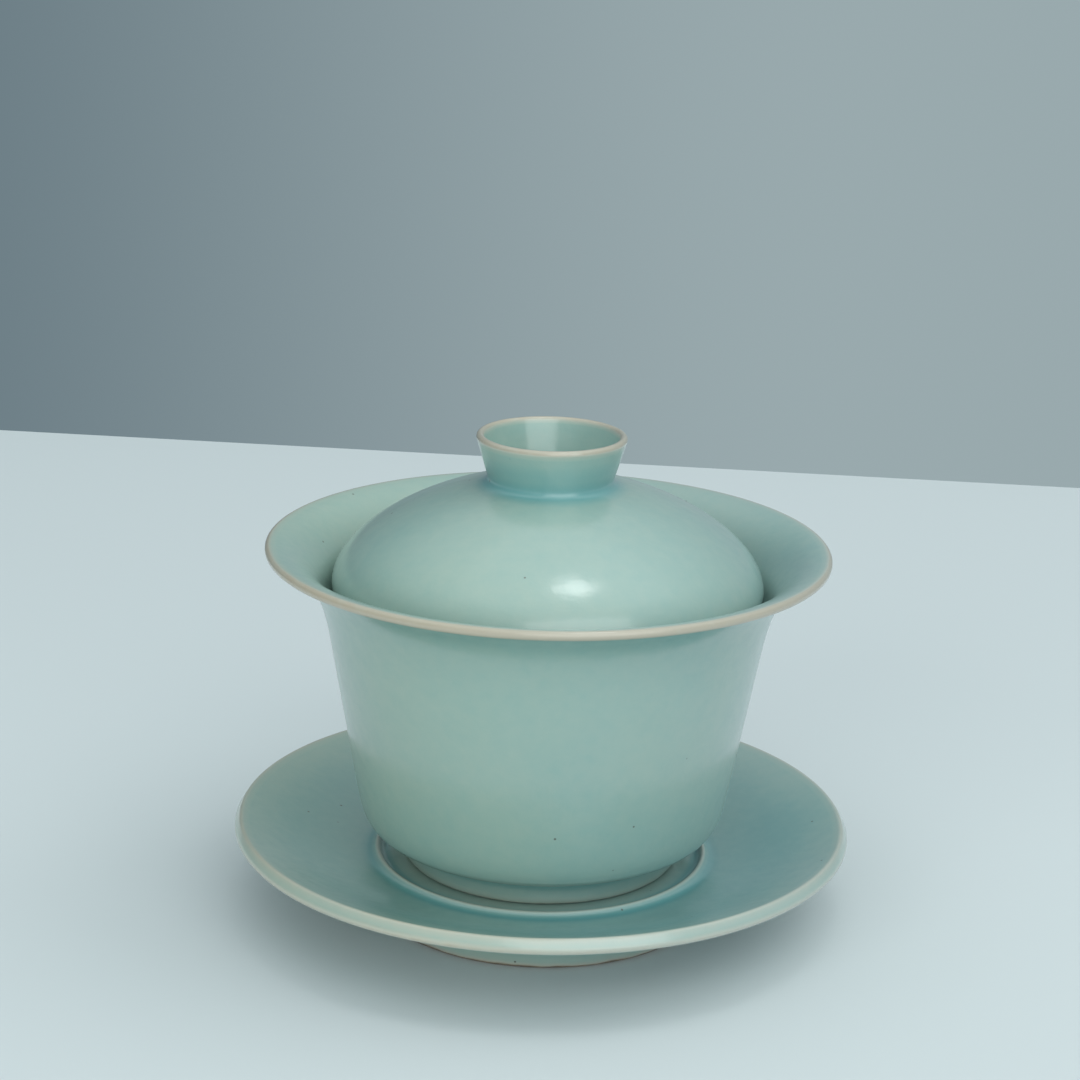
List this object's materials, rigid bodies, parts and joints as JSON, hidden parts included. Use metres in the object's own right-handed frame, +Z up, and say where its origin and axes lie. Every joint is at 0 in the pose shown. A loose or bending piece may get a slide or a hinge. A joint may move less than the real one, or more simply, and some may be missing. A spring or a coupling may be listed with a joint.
{
  "type": "gaiwan",
  "caption": "Lidded tea bowl with a flared lip, a domed lid with a cup-shaped knob, and a footed saucer, in celadon-glazed stoneware.",
  "frame": {"origin": "centre of the saucer's foot ring, on the surface that it stands on", "axes": "+Z up along the axis that all three pieces were turned on; X and Y are alike"},
  "size_m": [0.1128, 0.1128, 0.0892],
  "materials": {
    "celadon_glaze": "satin"
  },
  "bodies": {
    "saucer": {"saucer": "celadon_glaze"},
    "bowl": {"bowl": "celadon_glaze"},
    "lid": {"lid": "celadon_glaze"}
  },
  "joints": [
    {"name": "bowl_lift", "type": "slide", "parent": "saucer", "child": "bowl", "axis": [0, 0, 1], "range_m": [0, 0.06]},
    {"name": "lid_lift", "type": "slide", "parent": "bowl", "child": "lid", "axis": [0, 0, 1], "range_m": [0, 0.06]}
  ]
}
